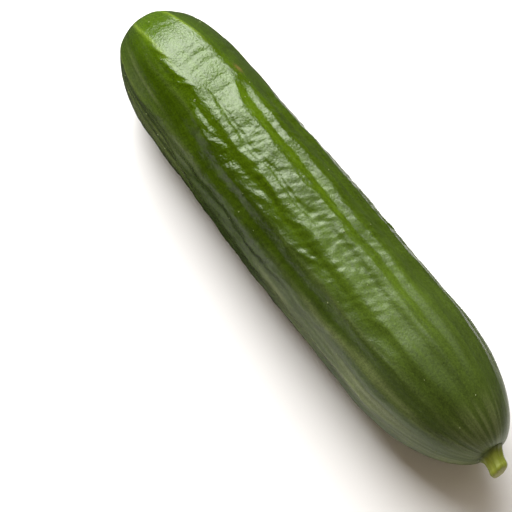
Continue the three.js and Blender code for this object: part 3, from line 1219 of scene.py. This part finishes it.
def points_and_normals(skin, places):
    """The skin's points nearest to the places, and the way out of the skin there.

    A normal is the cross product of the steps to the neighbours round the ring and along.
    """
    sides = skin.rings.shape[1]
    row = np.clip(np.searchsorted(skin.along[:, 0], places[:, 0]), 1, len(skin.along) - 2)
    turned = np.radians(places[:, 1]) % FULL_TURN
    column = np.rint(turned / FULL_TURN * sides).astype(int) % sides
    forward = skin.rings[row + 1, column] - skin.rings[row - 1, column]
    sideways = skin.rings[row, (column + 1) % sides] - skin.rings[row, column - 1]
    normals = np.cross(sideways, forward)
    return skin.rings[row, column], normals / np.linalg.norm(normals, axis=1, keepdims=True)


def scar_domes(centres, normals, sizes):
    """Low domes on the skin, each closed underneath by a point sunk into it.

    A dome's rings shrink by the cosine and rise by the sine of an angle from 0 to its pole.
    """
    turn = np.linspace(0, FULL_TURN, DOME["sides"], endpoint=False)
    climb = np.radians(DOME["climb"])
    first = np.cross(normals, [0.0, 0.0, 1.0])
    first = first / np.linalg.norm(first, axis=1, keepdims=True)
    second = np.cross(normals, first)
    ring = np.cos(turn)[:, None] * first[:, None, :] + np.sin(turn)[:, None] * second[:, None, :]
    wide = SPINE_SCARS["radius"] * np.cos(climb)
    high = SPINE_SCARS["height"] * np.sin(climb) - DOME["sunk"]
    rings = (
        wide[None, :, None, None] * ring[:, None]
        + high[None, :, None, None] * normals[:, None, None, :]
    )
    top = SPINE_SCARS["height"] - DOME["sunk"]
    poles = np.stack([-DOME["root"] * normals, top * normals], axis=1)
    points = np.concatenate([poles, rings.reshape(len(centres), -1, 3)], axis=1)
    return centres[:, None] + points * sizes[:, None, None]


def dome_faces(count):
    """Triangles and quads of the domes, with the sunk pole and the top pole first in each."""
    rings, sides = len(DOME["climb"]), DOME["sides"]
    ids = 2 + np.arange(rings * sides).reshape(rings, sides)
    after = np.roll(ids, -1, axis=1)
    quads = np.stack([ids[:-1], after[:-1], after[1:], ids[1:]], axis=-1).reshape(-1, 4)
    under = np.stack([np.zeros(sides, int), after[0], ids[0]], axis=-1)
    over = np.stack([ids[-1], after[-1], np.ones(sides, int)], axis=-1)
    step = (2 + rings * sides) * np.arange(count)[:, None, None]
    faces = [(block[None] + step).reshape(-1, block.shape[1]) for block in (quads, under, over)]
    return [face for block in faces for face in block.tolist()]


class CUCUMBER_OT_fruit(bpy.types.Operator):
    """Build the fruit's skin with its ridges, wrinkles and ends"""

    bl_idname = "cucumber.fruit"
    bl_label = "Fruit"

    def execute(self, context):
        skin = fruit_surface(context.scene.cucumber_shape)
        form, along, angle = skin.form, skin.along, skin.angle
        tips = [form.place(np.array(x), np.array(0.0), 0) for x in (0.0, form.length)]
        mesh = closed_mesh("fruit_skin", tips[0] + skin.offset, skin.rings, tips[1] + skin.offset)
        numbers = {
            "share": np.broadcast_to(along, skin.wax_and_sheen.shape) / form.length,
            "groove": form.grooves(along, angle, GROOVE_PALENESS, GROOVE_REACH["pale"]),
            "stripe": form.stripes(along, angle),
            "wax_and_sheen": skin.wax_and_sheen,
            # pale: painted light, paler skin on the top and the side that the soft light faces
            "pale": form.painted_light_side(along, angle),
            "cork": form.corky(along, angle),
        }
        for name, values in numbers.items():
            set_numbers(mesh, name, with_ends(values))
        set_vectors(mesh, "grown", grown_places(0, skin.travelled, form.radius, angle))
        material = skin_material(context.scene.cucumber_colours)
        new_piece("fruit_skin", mesh, material, replaced="fruit")
        return {"FINISHED"}


class CUCUMBER_OT_scars(bpy.types.Operator):
    """Scatter the pale dots that the young fruit's spines left"""

    bl_idname = "cucumber.scars"
    bl_label = "Spine scars"

    def execute(self, context):
        shape = context.scene.cucumber_shape
        rng = np.random.default_rng(shape.seed)
        skin = fruit_surface(shape)
        places = scar_places(rng, shape, skin.form)
        centres, normals = points_and_normals(skin, places)
        sizes = 1 + SPINE_SCARS["spread"] * rng.uniform(-1, 1, len(places))
        points = inside_the_box(scar_domes(centres, normals, sizes)).reshape(-1, 3) * MM
        mesh = bpy.data.meshes.new("spine_scars")
        mesh.from_pydata(points, [], dome_faces(len(places)))
        mesh.shade_smooth()
        new_piece("spine_scars", mesh, scar_material(context.scene.cucumber_colours))
        return {"FINISHED"}


class CUCUMBER_OT_stem(bpy.types.Operator):
    """Build the short piece of stalk with its ribs and its cut end"""

    bl_idname = "cucumber.stem"
    bl_label = "Stem"

    def execute(self, context):
        shape = context.scene.cucumber_shape
        out, radius = stem_outline(STEM_RINGS)
        angle = np.linspace(0, FULL_TURN, STEM_SIDES, endpoint=False)[None, :]
        rings, tips = stem_surface(shape, out[:, None], radius[:, None], angle)
        offset = frame_offset(rings, "stem", 1)
        rings, tips = inside_the_box(rings + offset), [tip + offset for tip in tips]
        mesh = closed_mesh("stem_stalk", tips[0], rings, tips[1])
        set_numbers(mesh, "out", with_ends(np.broadcast_to(out[:, None], rings.shape[:2])))
        set_vectors(mesh, "grown", grown_places(out[0], out, radius[:, None], angle))
        material = stalk_material(context.scene.cucumber_colours)
        new_piece("stem_stalk", mesh, material, replaced="stem")
        return {"FINISHED"}


class CUCUMBER_OT_stage(bpy.types.Operator):
    """Lay the floor, hang the lights and set up the camera"""

    bl_idname = "cucumber.stage"
    bl_label = "Studio"

    def execute(self, context):
        studio = context.scene.cucumber_studio
        self.lay_floor(context, studio)
        self.hang_lights(context, studio)
        self.set_camera(context, studio)
        context.scene.view_settings.view_transform = "Standard"
        return {"FINISHED"}

    def lay_floor(self, context, studio):
        """A flat square of paper, a hair below the flat spot."""
        half = studio.floor_size / 2
        corners = [(-half, -half), (half, -half), (half, half), (-half, half)]
        mesh = bpy.data.meshes.new("floor")
        points = [(x, y, -PAPER["gap"] * MM) for x, y in corners]
        mesh.from_pydata(points, [], [(0, 1, 2, 3)])
        floor = bpy.data.objects.new("floor", mesh)
        context.scene.collection.objects.link(floor)
        mesh.materials.append(floor_material(context.scene.cucumber_colours))

    def hang_lights(self, context, studio):
        """One long soft light above the blossom end, and a pale room."""
        light = bpy.data.lights.new("key", "AREA")
        light.shape = "RECTANGLE"
        light.size = studio.key_length
        light.size_y = studio.key_width
        light.energy = studio.key_power
        fade_light(light)
        key = bpy.data.objects.new("key", light)
        context.scene.collection.objects.link(key)
        lean, turn = studio.key_lean, studio.key_turn
        towards = Vector(
            (-math.sin(lean), math.cos(lean) * math.sin(turn), math.cos(lean) * math.cos(turn))
        )
        across = towards.cross(Vector((1, 0, 0))).normalized()
        along = across.cross(towards)
        turned = Matrix((along, across, towards)).transposed()
        key.matrix_world = Matrix.Translation(towards * KEY_DISTANCE) @ turned.to_4x4()

        context.scene.world = bpy.data.worlds.new("room")
        light_the_room(context.scene.world, studio)

    def set_camera(self, context, studio):
        """The camera looks at the aim from the azimuth and elevation."""
        camera = bpy.data.cameras.new("camera")
        camera.lens = studio.lens
        camera.sensor_width = FRAME_WIDTH
        camera.clip_start = NEAREST_SEEN
        seen = bpy.data.objects.new("camera", camera)
        context.scene.collection.objects.link(seen)
        flat = math.cos(studio.elevation)
        back = Vector(
            (
                math.sin(studio.azimuth) * flat,
                -math.cos(studio.azimuth) * flat,
                math.sin(studio.elevation),
            )
        )
        seen.location = Vector(studio.aim) + back * studio.distance
        seen.rotation_euler = back.to_track_quat("Z", "Y").to_euler()
        context.scene.camera = seen


class CUCUMBER_PT_build(bpy.types.Panel):
    """Lists the pieces and their settings"""

    bl_idname = "CUCUMBER_PT_build"
    bl_label = "Cucumber"
    bl_space_type = "VIEW_3D"
    bl_region_type = "UI"
    bl_category = "Cucumber"

    def draw(self, context):
        for settings in GROUPS:
            group = getattr(context.scene, settings)
            box = self.layout.box()
            for name in group.__annotations__:
                box.prop(group, name)
        for step in STEPS:
            self.layout.operator(step.bl_idname)


STEPS = (CUCUMBER_OT_fruit, CUCUMBER_OT_scars, CUCUMBER_OT_stem, CUCUMBER_OT_stage)
GROUPS = {
    "cucumber_shape": CucumberShape,
    "cucumber_colours": CucumberColours,
    "cucumber_studio": CucumberStudio,
}


def register():
    """Adds the classes and puts the settings on the scene."""
    for cls in (*GROUPS.values(), *STEPS, CUCUMBER_PT_build):
        bpy.utils.register_class(cls)
    for name, group in GROUPS.items():
        setattr(bpy.types.Scene, name, PointerProperty(type=group))


def unregister():
    """Takes the settings and the classes away again."""
    for name in GROUPS:
        delattr(bpy.types.Scene, name)
    for cls in (CUCUMBER_PT_build, *STEPS, *GROUPS.values()):
        bpy.utils.unregister_class(cls)


def main():
    register()
    bpy.ops.cucumber.fruit()
    bpy.ops.cucumber.scars()
    bpy.ops.cucumber.stem()
    bpy.ops.cucumber.stage()


if __name__ == "__main__":
    main()
